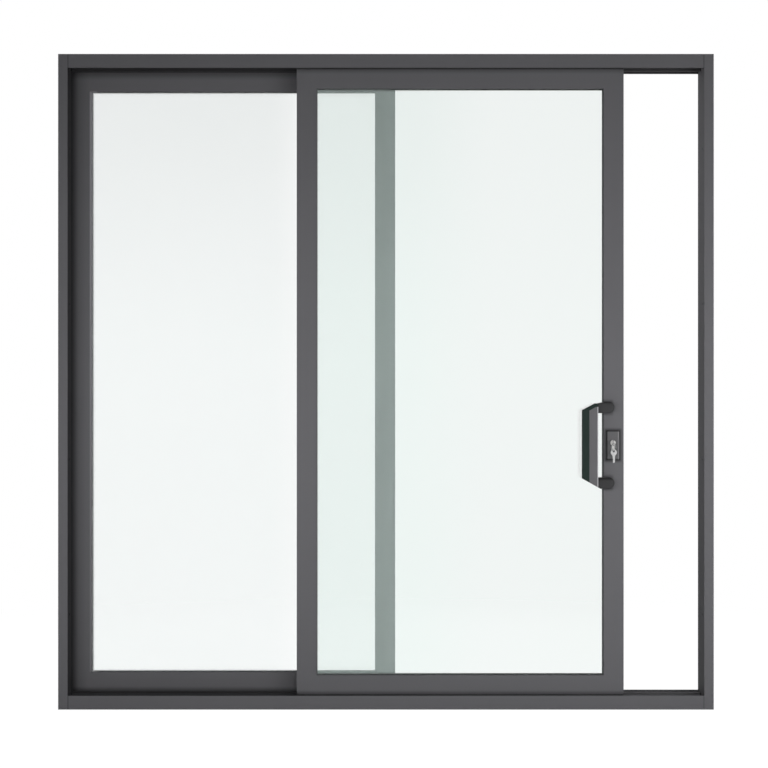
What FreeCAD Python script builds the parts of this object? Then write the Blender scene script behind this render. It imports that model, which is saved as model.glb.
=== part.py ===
import FreeCAD, Part
import math
import os
import Sketcher
from FreeCAD import Rotation, Vector

# A two track sliding patio door. Millimetres, X to the right, Y to the back, Z up.
# The origin is the middle of the sill's underside. The sliding panel stands part open.

SIZES = (
    ("frame_width", 2100, "outside width of the frame"),
    ("frame_height", 2100, "outside height of the frame"),
    ("frame_depth", 120, "front to back of the frame"),
    ("jamb_face", 30, "width of a jamb seen from the front"),
    ("sill_face", 44, "height of the sill and of the head seen from the front"),
    ("wall", 3, "wall of the hollow extrusions"),
    ("front_lip", 10, "front lip of the sill and the head"),
    ("track_bed", 20, "height of the front track's bed in the sill"),
    ("fixing_hole", 8.5, "hole for a frame fixing screw"),
    ("fixing_low", 300, "height of the lowest fixing"),
    ("fixing_pitch", 500, "distance between fixings"),
    ("sash_depth", 40, "front to back of a panel"),
    ("slide_setback", 16, "frame face to sliding panel face"),
    ("sash_gap", 20, "gap between the two panels"),
    ("run_clear", 5, "clearance round the sliding panel"),
    ("sash_seat", 36, "height of the panels' lower edge"),
    ("panel_width", 1050, "width of a panel"),
    ("stile_face", 64, "width of a stile"),
    ("rail_face", 71, "height of a rail"),
    ("open_by", 251.5, "how far the sliding panel stands from shut"),
    ("front_leg", 12, "depth of the leg in front of the glass"),
    ("rear_leg", 3, "depth of the leg behind the glass"),
    ("pocket_deep", 16, "depth of the glass pocket"),
    ("cavity_tall", 40, "height of the roller and guide cavities"),
    ("cavity_wall", 4, "wall beside the roller and guide cavities"),
    ("glass_cover", 12, "how far the glass reaches into its pocket"),
    ("gasket", 2.5, "thickness of a gasket"),
    ("gasket_show", 1.5, "part of a gasket that shows"),
    ("gasket_hold", 9, "part of a gasket inside the pocket"),
    ("pane", 4, "thickness of a pane"),
    ("spacer_wide", 8, "width of the spacer bar"),
    ("spacer_inset", 2, "spacer bar's distance from the glass edge"),
    ("hook_reach", 36, "width of an interlock"),
    ("hook_base", 22, "width of an interlock's foot"),
    ("hook_wall", 2, "wall of an interlock"),
    ("track_wide", 6, "width of the track rail"),
    ("track_tall", 10, "height of the track rail"),
    ("track_edge", 1, "bevel on the track rail's top edges"),
    ("track_air", 0.3, "gap between a wheel and the track rail"),
    ("rib_wide", 4, "thickness of the guide rib in the head"),
    ("rib_tall", 10, "height of the guide rib in the head"),
    ("guide_air", 1, "gap on each side of the guide rib"),
    ("guide_long", 60, "length of a top guide"),
    ("guide_wide", 20, "width of a top guide above its panel"),
    ("wheel_radius", 18, "radius of a wheel's tread"),
    ("wheel_flange", 2.5, "height of a wheel's flanges"),
    ("wheel_wide", 11, "width of a wheel"),
    ("tread_air", 0.5, "gap between a flange and the side of the track rail"),
    ("axle_radius", 4, "radius of a wheel's axle"),
    ("axle_long", 24, "length of a wheel's axle"),
    ("axle_air", 0.1, "gap round an axle"),
    ("carriage_long", 130, "length of a roller carriage"),
    ("carriage_tall", 34, "height of a roller carriage"),
    ("wheel_slot", 14, "width of the slot for a wheel"),
    ("slot_long", 52, "length of the slot for a wheel"),
    ("roller_inset", 110, "panel edge to roller and guide"),
    ("handle_height", 846.5, "height of the middle of the handle"),
    ("handle_left", 137.5, "panel edge to the grip's outer edge"),
    ("grip_wide", 50, "width of the grip"),
    ("grip_rise", 134.5, "handle's middle to the grip's upper end"),
    ("grip_drop", 132, "handle's middle to the grip's lower end"),
    ("upper_slant_in", 41, "slant of the grip's upper end, across"),
    ("upper_slant_up", 21.5, "slant of the grip's upper end, up"),
    ("lower_slant_in", 48, "slant of the grip's lower end, across"),
    ("lower_slant_up", 27, "slant of the grip's lower end, up"),
    ("grip_bevel", 22, "width of the bevel on the outer edge"),
    ("grip_end_bevel", 11, "width of the bevel on the upper end"),
    ("grip_edge", 5, "thickness of the grip's thin edge"),
    ("grip_thick", 22, "thickness of the grip"),
    ("grip_round", 1.2, "edge break of the grip's edges"),
    ("scoop_wide", 18, "width of the finger scoop behind the grip"),
    ("scoop_long", 186, "length of the finger scoop"),
    ("scoop_deep", 4, "depth of the finger scoop"),
    ("scoop_inset", 16, "grip's inner edge to the middle of the scoop"),
    ("post_tall", 36, "height of a handle post"),
    ("post_deep", 28, "distance the posts hold the grip off the stile"),
    ("post_reach", 64, "width of a handle post"),
    ("post_pitch", 242, "distance between the posts"),
    ("post_inset", 32.5, "panel edge to the round end of a post"),
    ("post_round", 3, "bevel on a post's outer edges"),
    ("lock_inset", 34.5, "panel edge to the lock's axis"),
    ("plate_wide", 42, "width of the lock plate"),
    ("plate_tall", 93, "height of the lock plate"),
    ("plate_thick", 3, "thickness of the lock plate"),
    ("plate_corner", 3, "corner radius of the lock plate"),
    ("plate_edge", 1, "bevel round the lock plate's face"),
    ("plug_rise", 7.5, "plug's axis above the middle of the plate"),
    ("cylinder_radius", 8.5, "radius of the lock cylinder"),
    ("cylinder_leg", 10, "width of the lock cylinder's leg"),
    ("cylinder_drop", 25, "plug's axis to the end of the leg"),
    ("cylinder_long", 30, "length of the lock cylinder"),
    ("cylinder_proud", 2, "how far the cylinder stands out of the plate"),
    ("cylinder_air", 0.3, "gap round the cylinder"),
    ("plug_radius", 6.5, "radius of the plug"),
    ("plug_air", 0.05, "gap round the plug"),
    ("plug_long", 24, "length of the plug"),
    ("plug_proud", 1, "how far the plug stands out of the cylinder"),
    ("key_thick", 2.2, "thickness of a key"),
    ("key_head", 20, "width of a key's head"),
    ("key_hole", 7.5, "hole in a key's head"),
    ("key_hole_edge", 6, "end of the head to the middle of its hole"),
    ("blade_tall", 7.5, "height of a key's blade"),
    ("blade_long", 24, "length of a key's blade"),
    ("blade_air", 0.1, "gap round the blade in the plug"),
    ("key_stop", 2, "gap between a key's head and the plug"),
    ("key_collar", 1.25, "how far a key's stop stands out beside its blade"),
    ("ring_radius", 11.5, "radius of the key ring"),
    ("ring_wire", 1.8, "width of the key ring's square wire"),
    ("ring_drop", 1.5, "middle of a key's hole to the wire resting in it"),
)


class Size:
    """A length together with the sheet expression that drives it."""

    def __init__(self, value, text):
        self.value = value
        self.text = text

    @staticmethod
    def of(item):
        return item if isinstance(item, Size) else Size(float(item), f"({item})")

    def __add__(self, other):
        other = Size.of(other)
        return Size(self.value + other.value, f"({self.text} + {other.text})")

    def __sub__(self, other):
        other = Size.of(other)
        return Size(self.value - other.value, f"({self.text} - {other.text})")

    def __mul__(self, other):
        other = Size.of(other)
        return Size(self.value * other.value, f"({self.text} * {other.text})")

    def __truediv__(self, other):
        other = Size.of(other)
        return Size(self.value / other.value, f"({self.text} / {other.text})")

    def __radd__(self, other):
        return Size.of(other) + self

    def __rsub__(self, other):
        return Size.of(other) - self

    def __rmul__(self, other):
        return Size.of(other) * self

    def __neg__(self):
        return Size(-self.value, f"(-1 * {self.text})")


doc = FreeCAD.newDocument("patio_door")
sheet = doc.addObject("Spreadsheet::Sheet", "Sizes")
named = {}
for row, (alias, value, note) in enumerate(SIZES, start=1):
    sheet.set(f"A{row}", note)
    sheet.set(f"B{row}", str(value))
    sheet.setAlias(f"B{row}", alias)
    named[alias] = Size(float(value), f"Sizes.{alias}")
doc.recompute()

pieces = []


def bind(item, name, size):
    """Drives one property of an object from the sheet."""
    size = Size.of(size)
    item.setExpression(name, size.text)


def place(item, x=0, y=0, z=0):
    """Drives where an object stands from the sheet."""
    for axis, size in (("x", x), ("y", y), ("z", z)):
        bind(item, f"Placement.Base.{axis}", size)


def new_body(name):
    body = doc.addObject("PartDesign::Body", name)
    body.Label = name
    pieces.append(body)
    return body


def new_sketch(body, plane, name):
    sketch = body.newObject("Sketcher::SketchObject", f"{body.Name}_{name}")
    support = [f for f in body.Origin.OriginFeatures if f.Role == plane]
    sketch.AttachmentSupport = [(support[0], "")]
    sketch.MapMode = "FlatFace"
    return sketch


def fix_point(sketch, geometry, point, at):
    """Holds a point of a sketch at a place that the sheet drives."""
    for kind, size in zip(("DistanceX", "DistanceY"), at):
        size = Size.of(size)
        index = sketch.addConstraint(Sketcher.Constraint(kind, -1, 1, geometry, point, size.value))
        sketch.setExpression(f"Constraints[{index}]", size.text)


def add_loop(sketch, corners):
    """Draws a closed outline with straight sides through the corners."""
    corners = [tuple(Size.of(c) for c in corner) for corner in corners]
    spots = [Vector(x.value, y.value, 0) for x, y in corners]
    first = sketch.GeometryCount
    count = len(spots)
    for i, spot in enumerate(spots):
        sketch.addGeometry(Part.LineSegment(spot, spots[(i + 1) % count]), False)
    for i in range(count):
        follower = first + (i + 1) % count
        sketch.addConstraint(Sketcher.Constraint("Coincident", first + i, 2, follower, 1))
    for i, corner in enumerate(corners):
        fix_point(sketch, first + i, 1, corner)


def add_box(sketch, low, high):
    add_loop(sketch, (low, (high[0], low[1]), high, (low[0], high[1])))


def add_slot(sketch, middle, wide, long):
    """Draws an upright slot with round ends."""
    x, z, radius = Size.of(middle[0]), Size.of(middle[1]), wide / 2
    top, low = z + long / 2 - radius, z - long / 2 + radius
    left, right = x - radius, x + radius
    up = Vector(0, 0, 1)
    upper = Part.Circle(Vector(x.value, top.value, 0), up, radius.value)
    lower = Part.Circle(Vector(x.value, low.value, 0), up, radius.value)
    left_top, left_low = (Vector(left.value, end.value, 0) for end in (top, low))
    right_top, right_low = (Vector(right.value, end.value, 0) for end in (top, low))
    sides = (
        Part.ArcOfCircle(upper, 0, math.pi),
        Part.LineSegment(left_top, left_low),
        Part.ArcOfCircle(lower, math.pi, 2 * math.pi),
        Part.LineSegment(right_low, right_top),
    )
    for side in sides:
        sketch.addGeometry(side, False)
    for i in range(4):
        sketch.addConstraint(Sketcher.Constraint("Tangent", i, 2, (i + 1) % 4, 1))
    sketch.addConstraint(Sketcher.Constraint("Equal", 0, 2))
    fix_point(sketch, 0, 3, (x, top))
    fix_point(sketch, 2, 3, (x, low))
    held = sketch.addConstraint(Sketcher.Constraint("Radius", 0, radius.value))
    sketch.setExpression(f"Constraints[{held}]", radius.text)


def add_circle(sketch, middle, radius):
    x, y, radius = Size.of(middle[0]), Size.of(middle[1]), Size.of(radius)
    circle = Part.Circle(Vector(x.value, y.value, 0), Vector(0, 0, 1), radius.value)
    index = sketch.addGeometry(circle, False)
    fix_point(sketch, index, 3, (x, y))
    held = sketch.addConstraint(Sketcher.Constraint("Radius", index, radius.value))
    sketch.setExpression(f"Constraints[{held}]", radius.text)


def pad(body, sketch, length, symmetric=False, reverse=False):
    feature = body.newObject("PartDesign::Pad", f"{sketch.Name}_pad")
    feature.Profile = sketch
    feature.SideType = "Symmetric" if symmetric else "One side"
    feature.Reversed = reverse
    bind(feature, "Length", length)
    body.Tip = feature
    return feature


def pocket(body, sketch, length, symmetric=False, reverse=False):
    feature = body.newObject("PartDesign::Pocket", f"{sketch.Name}_cut")
    feature.Profile = sketch
    feature.SideType = "Symmetric" if symmetric else "One side"
    feature.Reversed = reverse
    bind(feature, "Length", length)
    body.Tip = feature
    return feature


def soften(body, kind, size, chosen):
    """Rounds or bevels the edges of a body's last feature that chosen picks."""
    doc.recompute()
    last = body.Tip
    edges = [f"Edge{i}" for i, edge in enumerate(last.Shape.Edges, start=1) if chosen(edge)]
    feature = body.newObject(f"PartDesign::{kind}", f"{last.Name}_soft")
    feature.Base = (last, edges)
    bind(feature, "Radius" if kind == "Fillet" else "Size", size)
    body.Tip = feature


def along_y(edge):
    box = edge.BoundBox
    return box.YLength > 100 * max(box.XLength, box.ZLength)


def on_front(shape):
    """A test for edges that lie wholly in a shape's foremost plane."""
    front = shape.BoundBox.YMin
    return lambda edge: abs(edge.BoundBox.YMax - front) < 1e-4


def extrusion(name, plane, loops, length):
    """A length of bar with the section given by its loops, the outline first."""
    body = new_body(name)
    sketch = new_sketch(body, plane, "section")
    for loop in loops:
        add_loop(sketch, loop)
    pad(body, sketch, length)
    return body


def box_loop(low, high):
    return (low, (high[0], low[1]), high, (low[0], high[1]))


frame_width = named["frame_width"]
frame_height = named["frame_height"]
frame_depth = named["frame_depth"]
jamb_face = named["jamb_face"]
sill_face = named["sill_face"]
wall = named["wall"]
front_lip = named["front_lip"]
track_bed = named["track_bed"]
sash_depth = named["sash_depth"]
slide_setback = named["slide_setback"]
sash_gap = named["sash_gap"]
run_clear = named["run_clear"]
sash_seat = named["sash_seat"]
panel_width = named["panel_width"]
stile_face = named["stile_face"]
rail_face = named["rail_face"]
front_leg = named["front_leg"]
rear_leg = named["rear_leg"]
pocket_deep = named["pocket_deep"]
cavity_tall = named["cavity_tall"]
cavity_wall = named["cavity_wall"]
rib_wide = named["rib_wide"]

# Planes that several pieces share
half_depth = frame_depth / 2
half_opening = frame_width / 2 - jamb_face
slide_front = slide_setback - half_depth
slide_back = slide_front + sash_depth
fixed_front = slide_back + sash_gap
fixed_back = fixed_front + sash_depth
slide_middle = slide_front + sash_depth / 2
web_front = slide_back + run_clear
lip_back = front_lip - half_depth
sash_tall = frame_height - 2 * sash_seat
panel_right = half_opening - run_clear - named["open_by"]
panel_left = panel_right - panel_width
fixed_left = -half_opening
fixed_right = fixed_left + panel_width
clear_wide = panel_width - 2 * stile_face
clear_low = sash_seat + rail_face
clear_tall = sash_tall - 2 * rail_face


def sill_loops(flip, rib):
    """The sill's section, or the head's when flip turns heights over. rib adds the guide rib."""
    bed = [(web_front, flip(track_bed))]
    if rib:
        tip = flip(track_bed + named["rib_tall"])
        bed.append((slide_middle + rib_wide / 2, flip(track_bed)))
        bed.append((slide_middle + rib_wide / 2, tip))
        bed.append((slide_middle - rib_wide / 2, tip))
        bed.append((slide_middle - rib_wide / 2, flip(track_bed)))
    outline = [
        (-half_depth, flip(Size.of(0))),
        (half_depth, flip(Size.of(0))),
        (half_depth, flip(sill_face)),
        (fixed_back, flip(sill_face)),
        (fixed_back, flip(sash_seat)),
        (fixed_front, flip(sash_seat)),
        (fixed_front, flip(sill_face)),
        (web_front, flip(sill_face)),
        *bed,
        (lip_back, flip(track_bed)),
        (lip_back, flip(sill_face)),
        (-half_depth, flip(sill_face)),
    ]
    front_cell = [
        (wall - half_depth, flip(wall)),
        (slide_middle - wall / 2, flip(wall)),
        (slide_middle - wall / 2, flip(track_bed - wall)),
        (lip_back - wall, flip(track_bed - wall)),
        (lip_back - wall, flip(sill_face - wall)),
        (wall - half_depth, flip(sill_face - wall)),
    ]
    middle_cell = box_loop(
        (slide_middle + wall / 2, flip(wall)),
        (web_front, flip(track_bed - wall)),
    )
    rear_cell = [
        (web_front + wall, flip(wall)),
        (half_depth - wall, flip(wall)),
        (half_depth - wall, flip(sash_seat - wall)),
        (fixed_front - wall, flip(sash_seat - wall)),
        (fixed_front - wall, flip(sill_face - wall)),
        (web_front + wall, flip(sill_face - wall)),
    ]
    return outline, front_cell, middle_cell, rear_cell


def make_jamb(name, left):
    """A jamb: three cells, and holes for the fixing screws right through."""
    right = left + jamb_face
    low, high = left + wall, right - wall
    loops = [box_loop((left, -half_depth), (right, half_depth))]
    edges = (
        (wall - half_depth, slide_back),
        (slide_back + wall, fixed_front + sash_depth / 4),
        (fixed_front + sash_depth / 4 + wall, half_depth - wall),
    )
    for front, back in edges:
        loops.append(box_loop((low, front), (high, back)))
    body = extrusion(name, "XY_Plane", loops, frame_height)
    sketch = new_sketch(body, "YZ_Plane", "fixing")
    add_circle(sketch, (slide_middle, named["fixing_low"]), named["fixing_hole"] / 2)
    hole = pocket(body, sketch, 2 * frame_width, symmetric=True)
    row = body.newObject("PartDesign::LinearPattern", f"{name}_fixings")
    row.Originals = [hole]
    row.Direction = (sketch, ["V_Axis"])
    bind(row, "Length", 3 * named["fixing_pitch"])
    row.Occurrences = 4
    body.Tip = row


def stile_loops(outer, inward, front):
    """A stile's section from its outer edge inwards, with its cells and its glass pocket."""
    inner = outer + inward * stile_face
    floor = inner - inward * pocket_deep
    back = front + sash_depth
    outline = [
        (outer, front),
        (inner, front),
        (inner, front + front_leg),
        (floor, front + front_leg),
        (floor, back - rear_leg),
        (inner, back - rear_leg),
        (inner, back),
        (outer, back),
    ]
    chamber = box_loop(
        (outer + inward * wall, front + wall),
        (floor - inward * wall, back - wall),
    )
    leg = box_loop(
        (floor, front + wall),
        (inner - inward * wall, front + front_leg - wall),
    )
    return outline, chamber, leg


def rail_loops(front, flip):
    """A rail's section: glass pocket at its inner edge, roller or guide cavity at its outer edge."""
    back = front + sash_depth
    outer = sash_seat
    inner = outer + rail_face
    floor = inner - pocket_deep
    cavity = outer + cavity_tall
    outline = [
        (front, flip(outer)),
        (front + cavity_wall, flip(outer)),
        (front + cavity_wall, flip(cavity)),
        (back - cavity_wall, flip(cavity)),
        (back - cavity_wall, flip(outer)),
        (back, flip(outer)),
        (back, flip(inner)),
        (back - rear_leg, flip(inner)),
        (back - rear_leg, flip(floor)),
        (front + front_leg, flip(floor)),
        (front + front_leg, flip(inner)),
        (front, flip(inner)),
    ]
    chamber = box_loop(
        (front + wall, flip(cavity + wall)),
        (back - wall, flip(floor - wall)),
    )
    leg = box_loop(
        (front + wall, flip(floor)),
        (front + front_leg - wall, flip(inner - wall)),
    )
    return outline, chamber, leg


def upright(z):
    return z


def turned(z):
    return frame_height - z


def ring_plate(name, out, y, thick):
    """A flat frame round the glass: out is how far its outer and inner edges lie outside the clear opening."""
    body = new_body(name)
    sketch = new_sketch(body, "XZ_Plane", "outline")
    for reach in out:
        add_box(sketch, (-reach, -reach), (clear_wide + reach, clear_tall + reach))
    pad(body, sketch, thick, reverse=True)
    place(body, y=y, z=clear_low)
    return body


def make_pane(name, x, y):
    cover = named["glass_cover"]
    box = doc.addObject("Part::Box", name)
    box.Label = name
    bind(box, "Length", clear_wide + 2 * cover)
    bind(box, "Width", named["pane"])
    bind(box, "Height", clear_tall + 2 * cover)
    place(box, x - cover, y, clear_low - cover)
    pieces.append(box)


def make_panel(prefix, names, left, front):
    """One glazed panel: two stiles, two rails, two panes with their spacer bar, two gaskets."""
    right = left + panel_width
    clear_left = left + stile_face
    left_stile = extrusion(prefix + names[0], "XY_Plane", stile_loops(left, 1, front), sash_tall)
    right_stile = extrusion(prefix + names[1], "XY_Plane", stile_loops(right, -1, front), sash_tall)
    for stile in (left_stile, right_stile):
        place(stile, z=sash_seat)
    for name, flip in (("bottom_rail", upright), ("top_rail", turned)):
        rail = extrusion(prefix + name, "YZ_Plane", rail_loops(front, flip), clear_wide)
        place(rail, x=clear_left)
    glass_front = front + front_leg + named["gasket"]
    glass_back = front + sash_depth - rear_leg - named["gasket"]
    make_pane(prefix + "front_pane", clear_left, glass_front)
    make_pane(prefix + "rear_pane", clear_left, glass_back - named["pane"])
    spacer_out = named["glass_cover"] - named["spacer_inset"]
    rings = (
        ("front_gasket", front + front_leg, named["gasket"], named["gasket_hold"], -named["gasket_show"]),
        ("rear_gasket", glass_back, named["gasket"], named["gasket_hold"], -named["gasket_show"]),
        (
            "spacer_bar",
            glass_front + named["pane"],
            glass_back - glass_front - 2 * named["pane"],
            spacer_out,
            spacer_out - named["spacer_wide"],
        ),
    )
    for name, y, thick, outer, inner in rings:
        ring = ring_plate(prefix + name, (outer, inner), y, thick)
        bind(ring, "Placement.Base.x", clear_left)
    return right_stile


def make_interlock(name, edge, inward, face, away):
    """A hooked strip on a meeting stile, from the stile's edge and face."""
    thin = named["hook_wall"]
    deep = sash_gap - run_clear
    foot = edge + inward * named["hook_base"]
    tip = edge + inward * named["hook_reach"]
    inside = edge + inward * thin
    outline = [
        (edge, face),
        (foot, face),
        (foot, face + away * thin),
        (inside, face + away * thin),
        (inside, face + away * (deep - thin)),
        (tip, face + away * (deep - thin)),
        (tip, face + away * deep),
        (edge, face + away * deep),
    ]
    low = sill_face + run_clear
    body = extrusion(name, "XY_Plane", [outline], frame_height - 2 * low)
    place(body, z=low)


# Frame
make_jamb("left_jamb", -frame_width / 2)
make_jamb("right_jamb", half_opening)
for name, flip, rib in (("sill", upright, False), ("head", turned, True)):
    bar = extrusion(name, "YZ_Plane", sill_loops(flip, rib), 2 * half_opening)
    place(bar, x=-half_opening)
track_wide = named["track_wide"]
track_top = track_bed + named["track_tall"]
track_edge = named["track_edge"]
track_loop = [
    (slide_middle - track_wide / 2, track_bed),
    (slide_middle + track_wide / 2, track_bed),
    (slide_middle + track_wide / 2, track_top - track_edge),
    (slide_middle + track_wide / 2 - track_edge, track_top),
    (slide_middle - track_wide / 2 + track_edge, track_top),
    (slide_middle - track_wide / 2, track_top - track_edge),
]
track = extrusion("track_rail", "YZ_Plane", [track_loop], 2 * half_opening)
place(track, x=-half_opening)

# Panels
make_panel("fixed_", ("outer_stile", "meeting_stile"), fixed_left, fixed_front)
lock_stile = make_panel("sliding_", ("meeting_stile", "lock_stile"), panel_left, slide_front)
make_interlock("fixed_interlock", fixed_right, -1, fixed_front, -1)
make_interlock("sliding_interlock", panel_left, 1, slide_back, 1)

# Rollers and guides
wheel_radius = named["wheel_radius"]
axle_height = track_top + named["track_air"] + wheel_radius
carriage_top = sash_seat + cavity_tall
carriage_low = carriage_top - named["carriage_tall"]


def make_carriage(name, middle):
    """A housing in the bottom rail with a slot for its wheel and a bore for the axle."""
    half = named["carriage_long"] / 2
    low, high = slide_front + cavity_wall, slide_back - cavity_wall
    body = new_body(name)
    side = new_sketch(body, "YZ_Plane", "section")
    add_box(side, (low, carriage_low), (high, carriage_top))
    pad(body, side, named["carriage_long"], symmetric=True)
    slot = new_sketch(body, "XY_Plane", "slot")
    reach = named["slot_long"] / 2
    gap = named["wheel_slot"] / 2
    add_box(slot, (-reach, slide_middle - gap), (reach, slide_middle + gap))
    pocket(body, slot, 2 * (carriage_top - wall), symmetric=True)
    bore = new_sketch(body, "XZ_Plane", "bore")
    add_circle(bore, (0, axle_height), named["axle_radius"] + named["axle_air"])
    reach_back = named["axle_long"] + 2 * (half_depth - slide_setback)
    pocket(body, bore, reach_back, symmetric=True)
    place(body, x=middle)


def make_wheel(name, middle):
    """A grooved wheel turned about its axle."""
    half = named["wheel_wide"] / 2
    groove = track_wide / 2 + named["tread_air"]
    rim = wheel_radius + named["wheel_flange"]
    pin = named["axle_long"] / 2
    radius = named["axle_radius"]
    body = new_body(name)
    sketch = new_sketch(body, "YZ_Plane", "half_section")
    add_loop(
        sketch,
        (
            (-pin, 0),
            (pin, 0),
            (pin, radius),
            (half, radius),
            (half, rim),
            (groove, rim),
            (groove, wheel_radius),
            (-groove, wheel_radius),
            (-groove, rim),
            (-half, rim),
            (-half, radius),
            (-pin, radius),
        ),
    )
    turn = body.newObject("PartDesign::Revolution", f"{name}_turn")
    turn.Profile = sketch
    turn.ReferenceAxis = (sketch, ["H_Axis"])
    turn.Angle = 360
    body.Tip = turn
    place(body, middle, slide_middle, axle_height)


def make_guide(name, middle):
    """A block in the top rail whose slot runs on the guide rib."""
    low, high = slide_front + cavity_wall, slide_back - cavity_wall
    floor = frame_height - sash_seat - cavity_tall
    rim = frame_height - sash_seat
    top = frame_height - track_bed - run_clear
    gap = rib_wide / 2 + named["guide_air"]
    half = named["guide_wide"] / 2
    outline = [
        (low, floor),
        (high, floor),
        (high, rim),
        (slide_middle + half, rim),
        (slide_middle + half, top),
        (slide_middle + gap, top),
        (slide_middle + gap, rim),
        (slide_middle - gap, rim),
        (slide_middle - gap, top),
        (slide_middle - half, top),
        (slide_middle - half, rim),
        (low, rim),
    ]
    body = extrusion(name, "YZ_Plane", [outline], named["guide_long"])
    place(body, x=middle - named["guide_long"] / 2)


roller_inset = named["roller_inset"]
roller_places = (
    ("left", panel_left + stile_face + roller_inset),
    ("right", panel_right - stile_face - roller_inset),
)
for side, middle in roller_places:
    make_carriage(f"{side}_carriage", middle)
    make_wheel(f"{side}_wheel", middle)
    make_guide(f"{side}_guide", middle)

# Handle
handle_height = named["handle_height"]
grip_left = panel_right - named["handle_left"]
grip_right = grip_left + named["grip_wide"]
grip_back = slide_front - named["post_deep"]


def grip_corners(bevel, end):
    """The grip's outline with its outer edge and its upper end drawn in."""
    left = grip_left + bevel
    low = handle_height - named["grip_drop"]
    high = handle_height + named["grip_rise"] - end
    lower_slope = named["lower_slant_up"] / named["lower_slant_in"]
    upper_slope = named["upper_slant_up"] / named["upper_slant_in"]
    lower_shoulder = grip_left + named["lower_slant_in"]
    upper_shoulder = grip_left + named["upper_slant_in"]
    return (
        (left, low + lower_slope * (lower_shoulder - left)),
        (lower_shoulder, low),
        (grip_right, low),
        (grip_right, high),
        (upper_shoulder, high),
        (left, high - upper_slope * (upper_shoulder - left)),
    )


bow = new_body("handle_bow")
bow_rear = new_sketch(bow, "XZ_Plane", "rear")
bind(bow_rear, "AttachmentOffset.Base.z", -grip_back)
add_loop(bow_rear, grip_corners(Size.of(0), Size.of(0)))
pad(bow, bow_rear, named["grip_edge"])
bow_low = new_sketch(bow, "XZ_Plane", "low")
bind(bow_low, "AttachmentOffset.Base.z", named["grip_edge"] - grip_back)
add_loop(bow_low, grip_corners(Size.of(0), Size.of(0)))
bow_front = new_sketch(bow, "XZ_Plane", "front")
bind(bow_front, "AttachmentOffset.Base.z", named["grip_thick"] - grip_back)
add_loop(bow_front, grip_corners(named["grip_bevel"], named["grip_end_bevel"]))
bevel = bow.newObject("PartDesign::AdditiveLoft", "handle_bow_bevel")
bevel.Profile = bow_low
bevel.Sections = [bow_front]
bevel.Ruled = True
bow.Tip = bevel
doc.recompute()
soften(bow, "Chamfer", named["grip_round"], on_front(bow.Tip.Shape))
scoop = new_sketch(bow, "XZ_Plane", "scoop")
bind(scoop, "AttachmentOffset.Base.z", -grip_back)
add_slot(scoop, (grip_right - named["scoop_inset"], handle_height), named["scoop_wide"], named["scoop_long"])
pocket(bow, scoop, named["scoop_deep"], reverse=True)

for name, side in (("upper_post", 1), ("lower_post", -1)):
    body = new_body(name)
    sketch = new_sketch(body, "XZ_Plane", "outline")
    middle = handle_height + side * named["post_pitch"] / 2
    radius = named["post_tall"] / 2
    right = panel_right - named["post_inset"]
    add_box(sketch, (right - named["post_reach"], middle - radius), (right - radius, middle + radius))
    pad(body, sketch, named["post_deep"])
    end = new_sketch(body, "XZ_Plane", "round_end")
    add_circle(end, (right - radius, middle), radius)
    pad(body, end, named["post_deep"])
    doc.recompute()
    soften(body, "Chamfer", named["post_round"], on_front(body.Tip.Shape))
    place(body, y=slide_front)

# Lock
lock_x = panel_right - named["lock_inset"]
plug_z = handle_height + named["plug_rise"]
cylinder_radius = named["cylinder_radius"]
leg_half = named["cylinder_leg"] / 2
leg_low = plug_z - named["cylinder_drop"] + leg_half


def body_lift(body):
    """How far a body stands above the floor, which its own sketches don't see."""
    return sash_seat if body is lock_stile else Size.of(0)


def add_lock_outline(body, make, air, length, reverse, offset):
    """Pads or cuts the cylinder's keyhole outline: a round barrel over a round ended leg."""
    barrel = new_sketch(body, "XZ_Plane", "barrel")
    add_circle(barrel, (lock_x, plug_z), cylinder_radius + air)
    leg = new_sketch(body, "XZ_Plane", "leg")
    low = (lock_x - leg_half - air, leg_low)
    add_box(leg, low, (lock_x + leg_half + air, plug_z))
    foot = new_sketch(body, "XZ_Plane", "foot")
    add_circle(foot, (lock_x, leg_low), leg_half + air)
    for sketch in (barrel, leg, foot):
        bind(sketch, "AttachmentOffset.Base.z", offset)
        bind(sketch, "AttachmentOffset.Base.y", -body_lift(body))
        make(body, sketch, length, reverse=reverse)


cylinder_front = slide_front - named["plate_thick"] - named["cylinder_proud"]
air = named["cylinder_air"]
add_lock_outline(lock_stile, pocket, air, 2 * wall, False, -slide_front)

plate = new_body("lock_plate")
outline = new_sketch(plate, "XZ_Plane", "outline")
plate_low = (lock_x - named["plate_wide"] / 2, handle_height - named["plate_tall"] / 2)
plate_high = (lock_x + named["plate_wide"] / 2, handle_height + named["plate_tall"] / 2)
bind(outline, "AttachmentOffset.Base.z", -slide_front)
add_box(outline, plate_low, plate_high)
pad(plate, outline, named["plate_thick"])
soften(plate, "Fillet", named["plate_corner"], along_y)
doc.recompute()
soften(plate, "Chamfer", named["plate_edge"], on_front(plate.Tip.Shape))
add_lock_outline(plate, pocket, air, 2 * named["plate_thick"], False, named["plate_thick"] - slide_front)

cylinder = new_body("lock_cylinder")
add_lock_outline(cylinder, pad, Size.of(0), named["cylinder_long"], True, -cylinder_front)
bore = new_sketch(cylinder, "XZ_Plane", "bore")
bind(bore, "AttachmentOffset.Base.z", -cylinder_front)
add_circle(bore, (lock_x, plug_z), named["plug_radius"] + named["plug_air"])
pocket(cylinder, bore, named["plug_long"])

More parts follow.
